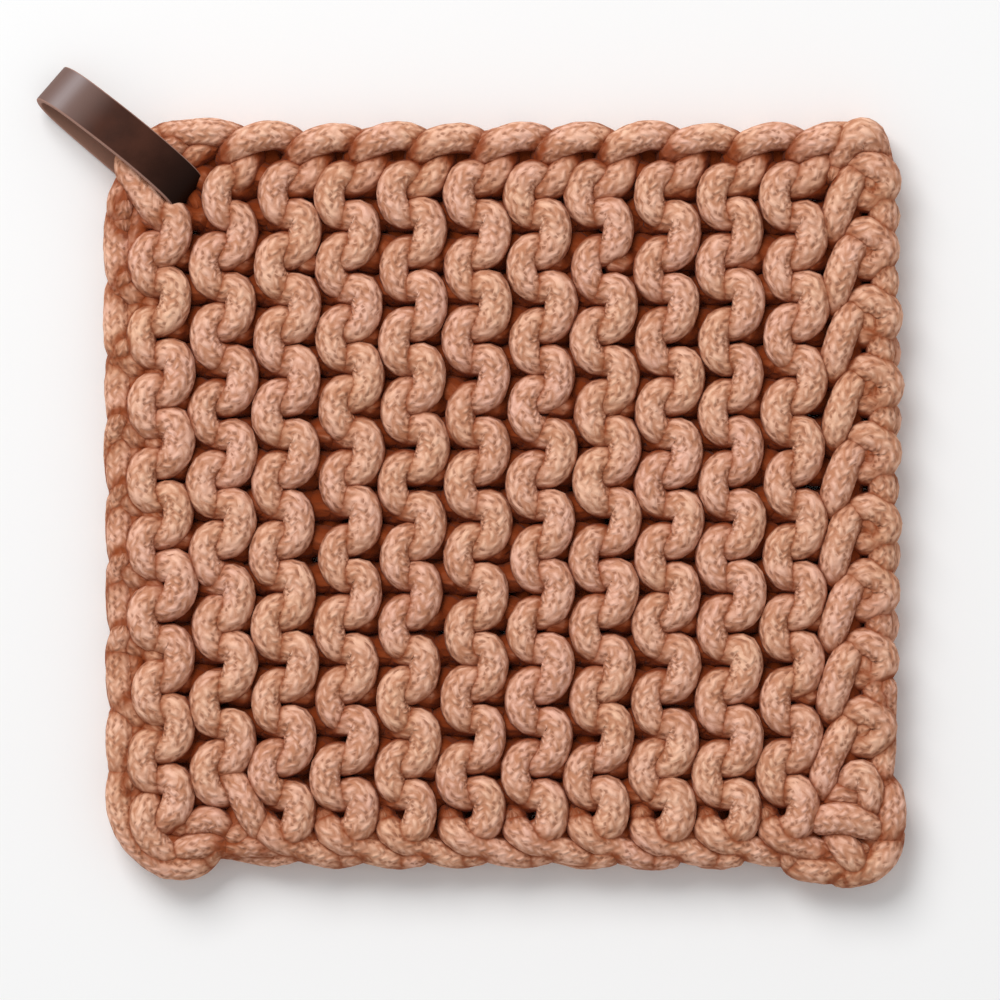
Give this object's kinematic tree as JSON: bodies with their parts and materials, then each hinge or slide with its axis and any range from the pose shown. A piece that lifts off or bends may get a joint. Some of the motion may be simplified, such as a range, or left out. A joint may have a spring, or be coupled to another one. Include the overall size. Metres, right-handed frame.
{
  "type": "pot holder with leather hanging loop",
  "caption": "Square pot holder of thick knitted cotton rope with raised stitches, lying flat, with a leather strap loop through one corner.",
  "frame": {"origin": "middle of the square's underside, on the surface it lies on", "axes": "+X to the right of the face, +Y up the face, +Z out of the face, through its thickness"},
  "size_m": [0.2218, 0.2096, 0.0168],
  "materials": {
    "cotton_rope": "matt braided cotton in soft terracotta",
    "brown_leather": "smooth dark brown leather with a soft sheen and paler cut edges"
  },
  "bodies": {
    "root": {"rope_fabric": "cotton_rope", "leather_loop": "brown_leather"}
  },
  "joints": []
}
